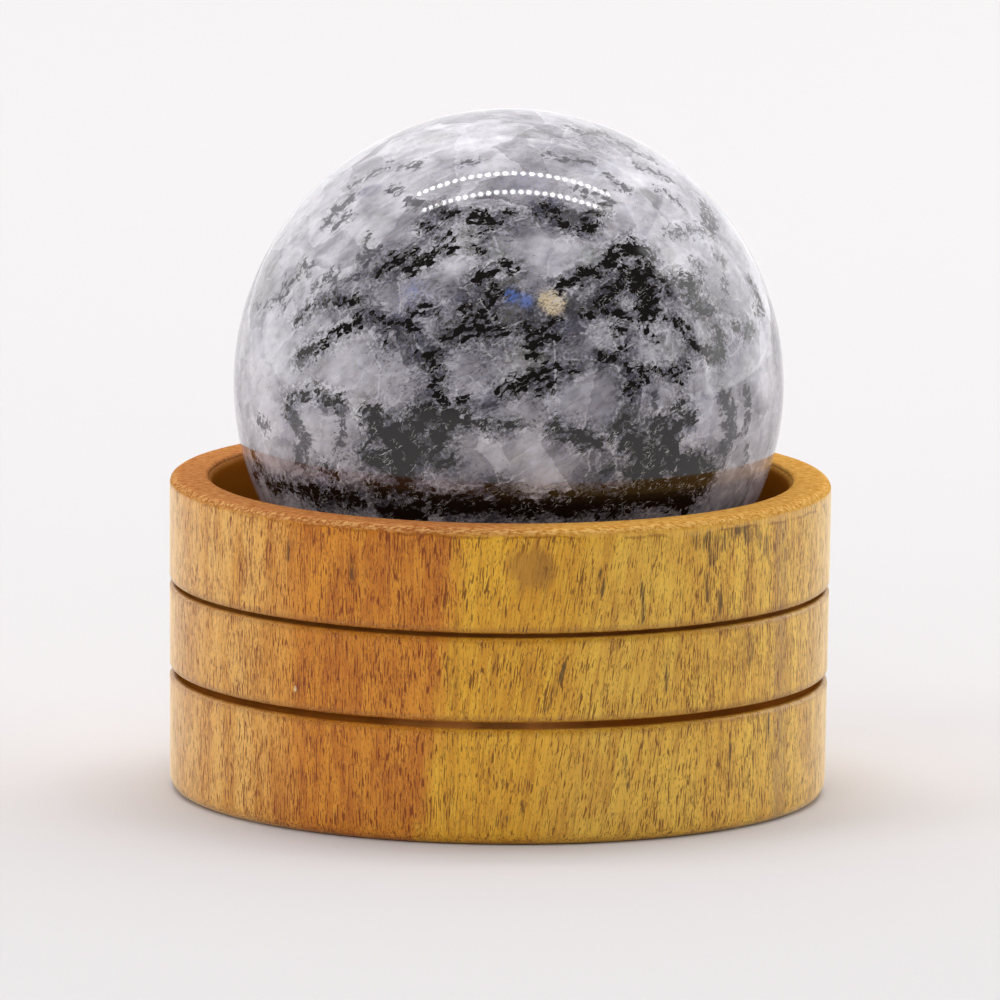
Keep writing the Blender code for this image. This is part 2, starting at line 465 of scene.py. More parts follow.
# The brown heart ends on the front in a ragged, leaning edge. On the back it comes in patches.
edge_x = add_node(tree, "Math", {0: z_mm, 1: -HEART_LEAN, 2: x_mm}, operation="MULTIPLY_ADD")
edge_x = add_node(tree, "Math", {0: patterns["border"], 1: 4.0, 2: edge_x}, operation="MULTIPLY_ADD")
heart = add_node(tree, "MapRange", {0: edge_x, 1: HEART_EDGE_MM + 3.1, 2: HEART_EDGE_MM + 0.9}, **smooth)
heart_side = add_node(tree, "MapRange", {0: y_mm, 1: 22.0, 2: 10.0}, **smooth)
heart = add_node(tree, "Math", {0: heart, 1: heart_side}, operation="MULTIPLY")
back_heart = add_node(tree, "MapRange", {0: patterns["back_heart"], 1: 0.50, 2: 0.56}, **smooth)
back_side = add_node(tree, "MapRange", {0: y_mm, 1: 5.0, 2: 14.0}, **smooth)
back_heart = add_node(tree, "Math", {0: back_heart, 1: back_side}, operation="MULTIPLY")
heart = add_node(tree, "Math", {0: heart, 1: back_heart}, operation="MAXIMUM")

# Each tone of the wood is a light and a dark shade, mixed by the blotches.
blotched = add_node(tree, "MapRange", {0: patterns["blotches"], 1: 0.36, 2: 0.64}, **smooth)
tones = {}
for name, light, dark in (
    ("gold", "#F1C14A", "#E0A83A"),
    ("amber", "#EFB22A", "#DC9A1E"),
    ("side_brown", "#F1BC62", "#DD9E40"),
    ("deep_brown", "#E09224", "#C77412"),
):
    tones[name] = add_node(tree, "Mix", {0: blotched, 6: light, 7: dark}, 2, data_type="RGBA")
goldness = add_node(tree, "MapRange", {0: fibre_x, 1: 3.0, 2: 12.0}, **smooth)
golden = add_node(tree, "Mix", {0: goldness, 6: tones["amber"], 7: tones["gold"]}, 2, data_type="RGBA")
deepness = add_node(tree, "MapRange", {0: fibre_x, 1: -26.0, 2: -18.0}, **smooth)
brown = add_node(
    tree, "Mix", {0: deepness, 6: tones["side_brown"], 7: tones["deep_brown"]}, 2, data_type="RGBA"
)
body = add_node(tree, "Mix", {0: heart, 6: golden, 7: brown}, 2, data_type="RGBA")
light_line = add_node(tree, "Mix", {0: heart, 6: "#F6CC44", 7: "#E8A030"}, 2, data_type="RGBA")
dark_line = add_node(tree, "Mix", {0: heart, 6: "#9A6212", 7: "#A05214"}, 2, data_type="RGBA")
pore_colour = add_node(tree, "Mix", {0: heart, 6: "#744212", 7: "#7C340A"}, 2, data_type="RGBA")

# Vessel lines and small pores crowd together in places, more so in the heart and at the right.
streaky_side = add_node(tree, "MapRange", {0: fibre_x, 1: 15.0, 2: 21.0, 4: 0.035}, **smooth)
crowding = add_node(tree, "Math", {0: heart, 1: 0.03, 2: streaky_side}, operation="MULTIPLY_ADD")
dark_streaks = add_node(tree, "Math", {0: patterns["streaks"], 1: streaky_side}, operation="SUBTRACT")
levels = {}
for name, pattern, share in (("vessels", "vessels", 0.30), ("pores", "small_pores", 0.25)):
    level_inputs = {0: patterns["vessel_zone"], 1: share, 2: patterns[pattern]}
    level = add_node(tree, "Math", level_inputs, operation="MULTIPLY_ADD")
    levels[name] = add_node(tree, "Math", {0: level, 1: crowding}, operation="ADD")
vessel = add_node(tree, "MapRange", {0: levels["vessels"], 1: 0.775, 2: 0.83}, **smooth)

# The small knot is amber and darkens to its right edge. Smudges break up along the fibres.
knot_side = add_node(tree, "MapRange", {0: x_mm, 1: 2.4, 2: 5.0}, **smooth)
knot_colour = add_node(tree, "Mix", {0: knot_side, 6: "#BC8428", 7: "#8A5618"}, 2, data_type="RGBA")
for name, pattern, share in (("knot", "blotches", 1.0), ("smudge", "fibres", 3.0)):
    level_inputs = {0: patterns[pattern], 1: share, 2: marks[name]}
    levels[name] = add_node(tree, "Math", level_inputs, operation="MULTIPLY_ADD")
streak_gap = add_node(tree, "Math", {0: fibre_x, 1: 27.9}, operation="SUBTRACT")
streak_gap = add_node(tree, "Math", {0: streak_gap}, operation="ABSOLUTE")
grey_streak = add_node(tree, "MapRange", {0: streak_gap, 1: 1.1, 2: 0.2}, **smooth)
streak_lines = add_node(tree, "MapRange", {0: patterns["fibres"], 1: 0.35, 2: 0.6}, **smooth)
grey_streak = add_node(tree, "Math", {0: grey_streak, 1: streak_lines}, operation="MULTIPLY")
grey_streak = add_node(tree, "Math", {0: grey_streak, 1: front}, operation="MULTIPLY")

# A dark line wanders round below the rim. Above it the wood is paler: wear and a painted highlight.
below_rim = add_node(tree, "Math", {0: stand_height / MM, 1: z_mm}, operation="SUBTRACT")
line_drop = add_node(tree, "MapRange", {0: x_mm, 1: 0.0, 2: 26.0, 3: 0.15, 4: 0.85}, **smooth)
line_drop = add_node(
    tree, "Math", {0: patterns["line_wander"], 1: 1.2, 2: line_drop}, operation="MULTIPLY_ADD"
)
line_gap = add_node(tree, "Math", {0: below_rim, 1: line_drop}, operation="SUBTRACT")
above_line = add_node(tree, "MapRange", {0: line_gap, 1: 0.1, 2: -0.3}, **smooth)
off_the_rim = add_node(tree, "MapRange", {0: below_rim, 1: 0.3, 2: 0.8}, **smooth)
worn_band = add_node(tree, "Math", {0: above_line, 1: off_the_rim}, operation="MULTIPLY")
line_gap = add_node(tree, "Math", {0: line_gap}, operation="ABSOLUTE")
line = add_node(tree, "MapRange", {0: line_gap, 1: 0.24, 2: 0.02}, **smooth)
line_here = add_node(tree, "MapRange", {0: patterns["vessel_zone"], 1: 0.40, 2: 0.58}, **smooth)
line = add_node(tree, "Math", {0: line, 1: line_here}, operation="MULTIPLY")

# End grain on the rim, redder over the heart, with a pale outer edge: wear and a painted highlight.
fleck = add_node(tree, "MapRange", {0: patterns["rim_fleck"], 1: 0.36, 2: 0.66}, **smooth)
rim_red = add_node(tree, "Mix", {0: fleck, 6: "#985630", 7: "#C68A56"}, 2, data_type="RGBA")
rim_gold = add_node(tree, "Mix", {0: fleck, 6: "#B27630", 7: "#E0B062"}, 2, data_type="RGBA")
rim_side = add_node(tree, "MapRange", {0: edge_x, 1: -4.0, 2: 6.0}, **smooth)
rim_colour = add_node(tree, "Mix", {0: rim_side, 6: rim_red, 7: rim_gold}, 2, data_type="RGBA")
worn_flecks = add_node(tree, "MapRange", {0: patterns["rim_fleck"], 1: 0.42, 2: 0.62}, **smooth)
worn_edge = add_node(tree, "Math", {0: marks["worn"], 1: worn_flecks}, operation="MULTIPLY")

# The tool burnt the grooves brown. The lower one is painted paler in front, a painted highlight.
# Fibres are torn out of their lips, and painted shade darkens the wood beside them.
upper_groove = add_node(tree, "MapRange", {0: z_mm, 1: 15.0, 2: 18.0}, **smooth)
worn_left = add_node(tree, "MapRange", {0: x_mm, 1: -14.0, 2: -4.0}, **smooth)
worn_right = add_node(tree, "MapRange", {0: x_mm, 1: 12.0, 2: 2.0}, **smooth)
worn_floor = add_node(tree, "Math", {0: worn_left, 1: worn_right}, operation="MULTIPLY")
scorch = add_node(tree, "Mix", {0: worn_floor, 6: "#92561C", 7: "#C08648"}, 2, data_type="RGBA")
scorch = add_node(tree, "Mix", {0: upper_groove, 6: scorch, 7: "#94602A"}, 2, data_type="RGBA")
scorched = add_node(tree, "MapRange", {0: patterns["clouds"], 1: 0.35, 2: 0.70, 4: 0.6}, **smooth)
scorch = add_node(tree, "Mix", {0: scorched, 6: scorch, 7: "#6E3E14"}, 2, data_type="RGBA")
torn = add_node(tree, "MapRange", {0: patterns["fuzz"], 1: 0.60, 2: 0.70}, **smooth)
torn = add_node(tree, "Math", {0: marks["lip"], 1: torn}, operation="MULTIPLY")

# Layers over the body, from the first to the last: what shows it, from which level to which, how
# much of it shows at most, and its colour.
for shown_by, start, full, most, colour in (
    (patterns["clouds"], 0.52, 0.70, 0.18, "#C07E22"),
    (patterns["streaks"], 0.53, 0.68, 0.26, light_line),
    (dark_streaks, 0.48, 0.33, 0.30, dark_line),
    (patterns["fibres"], 0.52, 0.70, 0.60, light_line),
    (patterns["fibres"], 0.48, 0.30, 0.53, dark_line),
    (patterns["grit"], 0.55, 0.75, 0.22, "#F6CC60"),
    (patterns["grit"], 0.45, 0.25, 0.22, "#96540F"),
    (vessel, 0.0, 1.0, 0.85, pore_colour),
    (levels["pores"], 0.74, 0.815, 0.54, pore_colour),
    (levels["knot"], 0.0, 1.5, 0.74, knot_colour),
    (levels["smudge"], 1.22, 1.64, 0.86, "#4E3012"),
    (grey_streak, 0.0, 1.0, 0.45, "#8E6A50"),
    (marks["nick"], 0.0, 0.15, 0.80, "#F2D9A8"),
    # The paler band under the rim is wear and a painted highlight; the dark line follows.
    (worn_band, 0.0, 1.0, 0.40, "#E5B25A"),
    (line, 0.0, 1.0, 0.45, "#7A3E0E"),
    (marks["rim"], 0.0, 1.0, 0.88, rim_colour),
    # Painted shade: the inside of the cup is painted dark amber.
    (marks["cup"], 0.05, 0.90, 1.0, "#7C4610"),
    # Painted shade: the wood beside each groove's lips is darkened.
    (marks["lip"], 0.0, 1.0, 0.36, "#8A5214"),
    (torn, 0.0, 1.0, 0.50, "#E3C08A"),
    # Pale rim edge: wear and a painted highlight.
    (worn_edge, 0.0, 1.0, 0.40, "#E8C27A"),
    (marks["burn"], 0.10, 0.75, 1.0, scorch),
):
    amount = add_node(tree, "MapRange", {0: shown_by, 1: start, 2: full, 4: most}, **smooth)
    body = add_node(tree, "Mix", {0: amount, 6: body, 7: colour}, 2, data_type="RGBA")

in_cup = add_node(tree, "MapRange", {0: marks["cup"], 1: 0.0, 2: 0.5}, **smooth)
dull = add_node(tree, "Math", {0: marks["rim"], 1: in_cup}, operation="MAXIMUM")
dull = add_node(tree, "Math", {0: dull, 1: marks["burn"]}, operation="MAXIMUM")
roughness = add_node(tree, "MapRange", {0: vessel, 3: 0.30, 4: 0.55}, **smooth)
dull_roughness = add_node(tree, "MapRange", {0: dull, 4: 0.60}, **smooth)
roughness = add_node(tree, "Math", {0: roughness, 1: dull_roughness}, operation="MAXIMUM")
shine = add_node(tree, "MapRange", {0: dull, 2: 0.6, 3: 0.60, 4: 0.0}, **smooth)
sheen = add_node(tree, "MapRange", {0: dull, 2: 0.6, 3: 1.0, 4: 0.0}, **smooth)

# A fine relief of fibres and grit shows through the lacquer.
bump_height = add_node(tree, "Math", {0: patterns["fibres"], 1: 0.5}, operation="MULTIPLY")
bump_height = add_node(
    tree, "Math", {0: patterns["grit"], 1: 0.4, 2: bump_height}, operation="MULTIPLY_ADD"
)
bump_inputs = {"Strength": 0.35, "Distance": 0.06 * MM, "Height": bump_height}
bump = add_node(tree, "Bump", bump_inputs)
shader = tree.nodes["Principled BSDF"]
for socket, source in (
    ("Base Color", body),
    ("Roughness", roughness),
    ("Normal", bump),
    ("Specular IOR Level", shine),
    ("Sheen Weight", sheen),
):
    tree.links.new(source, shader.inputs[socket])
shader.inputs["Sheen Roughness"].default_value = 0.25
shader.inputs["Sheen Tint"].default_value = (*srgb("#F8E4BC"), 1.0)
shader.inputs["IOR"].default_value = 1.42
stand.data.materials.append(wood)
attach(stand, "root")
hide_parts("wooden_stand")

# Stone ball.
# One ball of pale feldspar grown through with black tourmaline needles, ground round and mirror
# polished. The black runs in ragged veins and clusters; some of it lies under clear grains.
BALL_SPLITS = 63
ball_low, ball_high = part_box("stone_sphere")
ball_centre = (ball_low + ball_high) / 2
ball_radius = (ball_high.z - ball_low.z) / 2

bpy.ops.object.select_all(action="DESELECT")
bpy.ops.mesh.primitive_cube_add(size=2 * ball_radius)
ball = bpy.context.object
ball.name = "polished_ball"
bpy.ops.object.mode_set(mode="EDIT")
bpy.ops.mesh.select_all(action="SELECT")
bpy.ops.mesh.subdivide(number_cuts=BALL_SPLITS)
bpy.ops.mesh.subdivide(number_cuts=1)
bpy.ops.object.mode_set(mode="OBJECT")
bpy.ops.object.modifier_add(type="CAST")
cast = ball.modifiers[0]
cast.cast_type = "SPHERE"
cast.factor = 1.0
cast.use_radius_as_size = False
cast.size = ball_radius
bpy.ops.object.modifier_apply(modifier=cast.name)
bpy.ops.object.shade_smooth()

# Black veins and clusters as seen from the front: width, then points (across, up) from the ball's
# centre, all in millimetres. Along the bottom, by the cup's rim, some of the black is painted shade.
BLACK_AND_CUP_SHADE = [
    (0.6, (-12.7, 10.7), (-11.8, 11.9), (-10.0, 12.4), (-9.3, 12.6)),
    (0.6, (-10.0, 11.0), (-9.1, 11.6), (-7.7, 12.4), (-5.9, 13.3)),
    (0.35, (-6.6, 13.9), (-6.1, 14.2)),
    (1.0, (-3.4, 16.4), (-2.3, 16.2), (-1.1, 15.8), (-2.2, 15.3)),
    (0.5, (-1.0, 16.2), (0.2, 16.7)),
    (0.3, (-7.0, 17.4), (-6.1, 16.4), (-4.8, 16.6)),
    (0.3, (-8.4, 15.3), (-7.4, 15.2)),
    (0.25, (-3.4, 14.6), (-2.7, 14.7)),
    (0.3, (-3.4, 13.0), (-2.7, 13.0)),
    (0.25, (-20.9, 6.1), (-19.0, 7.8), (-18.2, 8.1)),
    (0.4, (-18.2, 8.1), (-16.8, 8.1), (-15.7, 7.8), (-14.0, 8.5)),
    (0.6, (-20.7, 2.1), (-20.0, 2.8), (-18.2, 3.9)),
    (0.5, (-18.2, 3.9), (-16.8, 4.9), (-15.4, 5.8), (-14.3, 6.5), (-13.1, 6.8)),
    (0.9, (-15.9, 5.2), (-14.9, 5.9)),
    (0.5, (-13.1, 6.7), (-12.0, 5.7), (-10.7, 5.8), (-9.7, 6.0), (-9.1, 4.6)),
    (0.15, (-12.3, 4.9), (-12.2, 4.1)),
    (0.4, (-10.0, 6.7), (-8.9, 7.1), (-7.3, 7.1)),
    (0.45, (-6.1, 4.2), (-4.3, 4.4), (-3.2, 5.3)),
    (1.1, (-3.2, 5.2), (-1.8, 5.1), (-0.4, 5.5)),
    (0.45, (-5.9, 4.8), (-4.6, 5.7), (-3.2, 6.7), (-1.9, 7.8), (-1.1, 8.7), (0.0, 9.2)),
    (0.9, (-3.9, 6.9), (-2.5, 6.4)),
    (0.7, (-3.2, 10.0), (-2.0, 10.7), (-0.7, 11.1), (0.0, 11.4)),
    (0.5, (-2.9, 9.6), (-2.1, 8.7), (-1.4, 9.6)),
    (0.7, (-8.8, 2.6), (-7.7, 2.1), (-7.0, 2.4), (-7.3, 1.2)),
    (0.45, (3.1, 16.7), (3.8, 17.4), (5.0, 16.9)),
    (0.5, (5.0, 16.0), (6.3, 15.1), (7.0, 15.0)),
    (0.9, (7.0, 15.0), (8.3, 15.7)),
    (0.4, (8.3, 16.7), (9.2, 17.1)),
    (1.5, (9.9, 12.1), (11.0, 12.6), (12.0, 13.0), (13.5, 12.6)),
    (1.3, (13.5, 12.6), (13.9, 11.9), (14.0, 10.5), (12.4, 10.2), (11.3, 10.8)),
    (1.2, (11.3, 11.2), (10.9, 9.8), (10.2, 9.2)),
    (0.5, (12.0, 12.9), (12.2, 13.9)),
    (0.6, (14.0, 10.5), (15.2, 10.0), (16.0, 9.2), (17.0, 10.0)),
    (1.4, (17.0, 9.9), (18.3, 9.8)),
    (0.9, (18.3, 9.8), (17.9, 8.5), (18.3, 7.4), (19.9, 7.1)),
    (1.7, (12.9, 9.2), (14.0, 9.0), (13.8, 7.8), (13.5, 6.7)),
    (1.2, (13.5, 6.8), (14.5, 7.1)),
    (0.3, (4.9, 9.2), (6.3, 10.0)),
    (0.5, (6.3, 10.0), (7.4, 10.8), (8.8, 11.2), (9.9, 11.6)),
    (0.3, (6.7, 10.1), (8.1, 10.5), (9.2, 10.8), (10.6, 10.7)),
    (0.7, (7.7, 6.7), (8.6, 7.3), (9.2, 8.2), (10.2, 9.1), (11.0, 9.6)),
    (0.3, (10.2, 6.9), (11.7, 6.4), (12.9, 6.2)),
    (1.3, (1.8, 5.3), (2.7, 4.6), (2.4, 3.5), (2.5, 2.8)),
    (0.8, (2.0, 4.1), (4.5, 4.6)),
    (0.5, (3.3, 5.5), (4.5, 5.8)),
    (0.6, (9.2, 2.3), (10.2, 2.4)),
    (0.35, (4.9, 1.4), (6.3, 1.2)),
    (0.45, (10.6, 5.3), (11.5, 5.1)),
    (0.3, (10.7, 2.7), (11.7, 3.0), (11.5, 3.8)),
    (0.6, (12.6, 1.0), (13.6, 0.6)),
    (0.2, (14.2, 4.4), (14.5, 4.4)),
    (0.2, (13.3, 5.1), (13.5, 5.0)),
    (0.5, (16.5, 6.0), (17.2, 5.3), (18.3, 3.5), (19.5, 2.8)),
    (0.7, (19.5, 2.8), (20.8, 2.6), (21.0, 4.0), (20.6, 5.5)),
    (0.35, (24.2, 9.9), (24.9, 8.5), (25.3, 7.4), (24.6, 7.1)),
    (0.4, (22.6, 5.5), (23.1, 4.9), (24.2, 5.5)),
    (0.4, (-21.8, -2.9), (-21.6, -2.0), (-20.9, -1.5), (-19.7, -1.2)),
    (0.8, (-18.6, -1.3), (-17.7, -1.9), (-16.8, -2.0)),
    (1.8, (-10.0, -5.8), (-9.1, -4.0), (-8.1, -2.9), (-6.8, -3.3), (-5.7, -3.8), (-6.6, -5.1), (-7.0, -5.8)),
    (0.6, (-7.3, -0.1), (-7.0, -1.5), (-5.9, -2.0), (-4.7, -1.9)),
    (0.4, (-7.5, 1.5), (-6.8, 0.5)),
    (0.9, (-5.9, -2.1), (-6.3, -3.3)),
    (0.5, (-1.1, -1.0), (0.2, -0.8)),
    (0.5, (-5.7, -4.0), (-4.1, -3.8), (-2.9, -4.0), (-1.8, -4.7), (0.2, -4.2)),
    (0.9, (-8.6, -7.9), (-7.0, -7.6), (-5.9, -7.8)),
    (0.5, (-18.1, -8.8), (-17.2, -9.2)),
    (0.6, (-12.2, -10.6), (-10.0, -10.1), (-9.3, -9.4)),
    (0.5, (-25.4, -7.2), (-24.7, -8.5), (-25.2, -9.4)),
    # The next seven strokes lie along the bottom by the cup's rim: partly black, partly painted shade.
    (0.9, (-23.8, -10.1), (-22.0, -10.3), (-20.4, -10.8), (-19.0, -11.7)),
    (0.8, (-13.6, -10.4), (-12.7, -11.0)),
    (1.2, (-19.0, -11.0), (-17.0, -11.3), (-15.0, -11.8)),
    (1.0, (-9.7, -10.4), (-8.8, -12.1), (-8.3, -12.9)),
    (2.2, (-7.0, -12.0), (-3.0, -12.2)),
    (2.0, (-12.0, -12.8), (-9.0, -13.2)),
    (1.5, (-1.6, -11.0), (0.2, -11.7)),
    (1.0, (0.3, -0.6), (1.6, 0.2), (2.9, 0.9), (4.0, 1.1)),
    (0.7, (2.9, -0.6), (4.0, -0.4)),
    (0.7, (12.1, 1.1), (13.0, 0.9), (12.9, 0.2), (11.9, -0.8)),
    (0.3, (13.0, 0.9), (15.6, 0.9), (17.5, 1.5)),
    (0.6, (16.2, 1.3), (16.8, 0.0)),
    (0.5, (11.9, -3.0), (11.0, -4.1), (10.1, -5.6), (9.2, -5.9)),
    (2.4, (-13.3, -3.5), (-12.9, -4.7)),
    (2.4, (-12.4, -5.0), (-10.9, -5.5)),
    (2.6, (-10.9, -6.0), (-9.4, -6.7)),
    (2.6, (-10.9, -7.5), (-10.4, -8.7)),
    (1.6, (-13.9, -7.5), (-11.4, -7.8)),
    (1.0, (4.5, -4.5), (5.6, -5.0), (7.1, -5.0), (7.5, -5.9), (9.0, -6.1)),
    (0.7, (14.5, -4.5), (15.4, -3.7), (16.4, -3.0), (17.1, -1.9)),
    (1.3, (14.5, -4.5), (15.8, -5.2), (16.8, -4.3), (17.7, -3.7)),
    (1.9, (15.8, -5.2), (15.8, -6.9), (16.0, -7.8)),
    (2.4, (12.1, -5.9), (13.2, -6.7), (14.3, -7.4), (14.5, -8.7), (14.0, -9.6), (12.5, -8.9)),
    (0.5, (9.5, -8.9), (10.6, -8.5), (12.1, -8.3)),
    (2.6, (17.5, -8.2), (18.6, -8.3), (19.3, -9.1), (18.8, -10.2), (16.9, -10.0)),
    # The last four strokes lie along the bottom by the cup's rim: partly black, partly painted shade.
    (1.8, (-0.8, -12.2), (2.5, -12.6), (4.7, -12.0)),
    (2.4, (5.5, -12.3), (8.4, -11.7), (10.5, -12.2)),
    (2.2, (12.1, -11.6), (14.5, -11.0), (17.7, -11.7)),
    (2.0, (15.1, -10.0), (12.0, -11.0)),
]

# Black that lies a little under the surface and shows as grey, in the same form.
SUNKEN = [
    (1.2, (-17.9, 16.0), (-17.2, 17.1), (-15.6, 18.3)),
    (0.8, (-17.2, 15.6), (-15.9, 16.4)),
    (0.5, (-15.6, 19.6), (-14.3, 20.3), (-12.0, 21.6)),
    (0.35, (-10.7, 21.3), (-8.8, 21.6)),
    (0.35, (-5.0, 21.4), (-4.1, 21.7), (-3.1, 21.9)),
    (0.7, (-11.4, 19.1), (-10.9, 18.9)),
    (0.6, (-10.2, 18.0), (-9.1, 17.6)),
    (0.6, (-22.4, 7.4), (-22.0, 8.9), (-22.2, 10.1)),
    (0.25, (-22.0, 9.2), (-20.9, 10.5)),
    (0.5, (-20.4, 11.9), (-19.8, 11.2)),
    (0.6, (-19.3, 9.6), (-18.4, 10.1), (-17.3, 10.7), (-17.2, 9.6), (-16.8, 8.5)),
    (0.4, (-25.2, 7.8), (-23.8, 7.6), (-22.7, 8.5)),
    (1.3, (-14.5, 12.2), (-13.2, 12.7)),
    (0.2, (-15.0, 11.0), (-14.5, 12.4), (-13.6, 14.7)),
    (0.5, (-16.8, 9.2), (-15.0, 10.6)),
    (1.8, (5.6, 16.3), (7.8, 16.0)),
    (0.8, (7.0, 19.0), (9.2, 18.5), (9.9, 18.0)),
    (0.6, (9.7, 20.6), (10.6, 19.6), (11.5, 19.2)),
    (0.4, (3.6, 22.6), (5.0, 22.2), (6.8, 22.1), (8.1, 21.7)),
    (0.5, (6.0, 25.5), (7.2, 24.9), (9.2, 24.9), (10.6, 24.2), (11.7, 23.5), (13.3, 22.6), (14.3, 22.2)),
    (0.5, (12.7, 21.5), (14.0, 21.2), (15.2, 20.6), (15.8, 20.2)),
    (0.35, (14.5, 19.2), (16.0, 18.7), (17.0, 17.6)),
    (1.0, (16.0, 14.8), (17.7, 15.1), (19.2, 15.3), (19.7, 16.4), (19.5, 17.8)),
    (1.0, (19.7, 16.4), (20.4, 16.4), (19.9, 14.9)),
    (0.5, (20.2, 13.0), (21.3, 12.1)),
    (0.6, (18.1, 11.9), (19.0, 11.2)),
    (0.4, (21.3, 10.7), (21.5, 9.2)),
    (1.5, (-21.6, -3.1), (-20.7, -4.5), (-20.0, -5.8), (-20.7, -7.6)),
    (0.7, (-16.6, -2.9), (-16.3, -4.4), (-16.8, -5.8), (-16.5, -7.2)),
    (1.0, (-4.9, -2.2), (-2.9, -2.6), (-1.3, -2.2)),
    (1.0, (-24.7, -4.0), (-24.0, -4.4)),
    (1.5, (6.1, 7.5), (8.1, 7.4)),
    (0.8, (18.5, 8.3), (19.7, 7.3)),
    (1.5, (21.2, -1.3), (22.1, -3.0), (21.6, -4.1), (22.3, -5.2), (21.2, -6.7)),
    (0.9, (23.4, -0.8), (23.8, -3.0), (23.4, -4.5)),
    (0.4, (23.6, -6.3), (23.6, -7.8)),
    (0.7, (21.2, -0.8), (21.6, -1.7)),
    (0.25, (21.6, -6.9), (21.2, -8.3), (20.1, -8.4)),
    (0.15, (14.2, -0.9), (14.4, -2.4)),
    (0.3, (3.8, -2.8), (3.8, -2.9)),
    (0.3, (0.0, -4.3), (2.0, -4.3)),
]

# Milky grains and clouds (positive) and smoky clear ones (negative): size, place, strength. The
# smoky patches along the bottom, by the cup's rim, are partly painted shade.
TONES_AND_CUP_SHADE = [
    (4.5, (-24.7, 1.5), 0.75), (4.0, (-24.4, -4.5), 0.6), (4.0, (-20.9, 14.5), 0.5),
    (4.0, (-15.9, 15.5), 0.5), (3.0, (-17.9, 11.5), 0.4), (5.0, (-8.9, 23.5), 0.5),
    (3.5, (-10.9, 19.5), 0.5), (4.0, (-2.9, 24.5), 0.4), (3.5, (13.2, 19.5), 0.5),
    (2.5, (11.2, 17.0), 0.6), (3.0, (25.7, 0.5), 1.0), (3.0, (25.2, 8.5), 0.8),
    (3.0, (23.2, 14.5), 0.6), (3.0, (18.2, 20.5), 0.5), (3.0, (-16.9, -1.0), 0.3),
    (2.2, (-5.4, 12.0), 0.4), (2.2, (4.7, 13.0), 0.6), (2.0, (17.2, 11.5), 0.6),
    (3.2, (2.2, -6.5), 0.4), (1.8, (17.7, -6.0), 0.4), (2.5, (21.2, -3.5), 0.2),
    (2.5, (18.5, 0.5), 0.2), (2.8, (7.7, -2.0), 0.05), (2.5, (-6.9, 3.5), -0.55),
    (2.5, (-1.9, 3.5), -0.5), (2.0, (-10.9, 5.0), -0.35), (2.0, (-12.9, 2.5), -0.3),
    (2.5, (-7.9, -0.5), -0.5), (2.5, (1.2, 7.5), -0.6), (2.5, (9.2, 8.5), -0.8),
    (2.5, (14.2, 9.5), -0.5), (2.0, (5.2, 5.5), -0.5), (2.5, (-3.9, 8.5), -0.65),
    (2.0, (-7.9, 8.5), -0.4), (2.5, (-0.9, 15.5), -0.4), (2.5, (3.2, 16.5), -0.35),
    (2.5, (-13.9, -6.5), -0.3), (2.5, (-8.9, -6.5), -0.5), (2.2, (12.2, -0.5), -0.25),
    (2.5, (13.2, -4.5), -0.5), (2.0, (5.2, -4.5), -0.4), (2.2, (21.2, 3.5), -0.2),
    (2.0, (21.2, 8.5), -0.3), (3.0, (8.2, 24.0), -0.35), (3.0, (-10.9, -10.5), -0.7),
    (3.0, (-0.9, -11.5), -0.9), (3.0, (9.2, -11.0), -0.9), (2.5, (17.2, -10.5), -0.5),
    (3.0, (-18.9, -10.0), -0.3), (2.5, (-5.9, 16.0), -0.3), (3.0, (8.0, 3.0), -0.2),
    (3.0, (-16.5, -11.0), -0.4), (2.5, (-20.5, -10.5), -0.3),
]

# A blue gleam, a tan grain and a green tinge, in the same form.
BLUE_FLASH = [(0.7, (0.2, 8.5), 0.9), (0.7, (1.7, 8.0), 0.8), (1.2, (-9.5, 9.0), 0.25)]
TAN_GRAIN = [(0.9, (3.7, 8.1), 1.0), (1.1, (5.0, 7.9), 1.0), (0.8, (4.3, 7.2), 0.8)]
GREEN_TINT = [(1.3, (8.0, 12.4), 0.7), (1.5, (-1.0, 12.8), 0.5), (1.5, (15.2, 3.5), 0.4)]

# White cleavage lines across the clear grains.
CLEAVAGE = [
    (0.20, (4.5, 4.3), (4.6, 1.0), (4.5, -1.8)),
    (0.18, (16.2, 3.9), (16.1, 1.7)),
    (0.18, (13.2, 5.4), (13.0, 1.5)),
    (0.16, (-0.5, 3.2), (1.0, 0.2)),
    (0.18, (-3.6, 1.3), (-1.8, 2.2), (0.2, 2.6), (2.4, 3.3)),
    (0.16, (-3.0, 4.2), (-1.2, 1.6), (0.0, 0.0)),
    (0.16, (-7.0, 5.6), (-3.8, 5.2)),
    (0.18, (5.0, -1.9), (4.6, -3.0)),
    (0.20, (5.4, 3.9), (7.2, 4.8), (9.2, 4.2)),
    (0.20, (5.2, 1.9), (7.5, 2.4), (10.6, 1.6)),
    (0.20, (10.8, 1.4), (11.4, -1.4), (10.2, -3.9)),
    (0.18, (-14.0, 4.0), (-12.6, 1.4), (-12.9, -1.4)),
]


def on_ball_front(across, up):
    """Point of the ball's front surface, from millimetres in the front view."""
    across, up = across * MM, up * MM
    towards = math.sqrt(max(ball_radius**2 - across**2 - up**2, 0.0))
    return np.array(view_right * across + view_up * up + view_back * towards)


BACK_ROLL = math.radians(115)
back_turn = Matrix.Rotation(math.pi, 3, "Z") @ Matrix.Rotation(BACK_ROLL, 3, "Y")


def both_sides(points):
    """Given points on the front, and the same on the unseen back, turned and rolled."""
    front_points = [on_ball_front(*point) for point in points]
    return front_points, [np.array(back_turn) @ point for point in front_points]


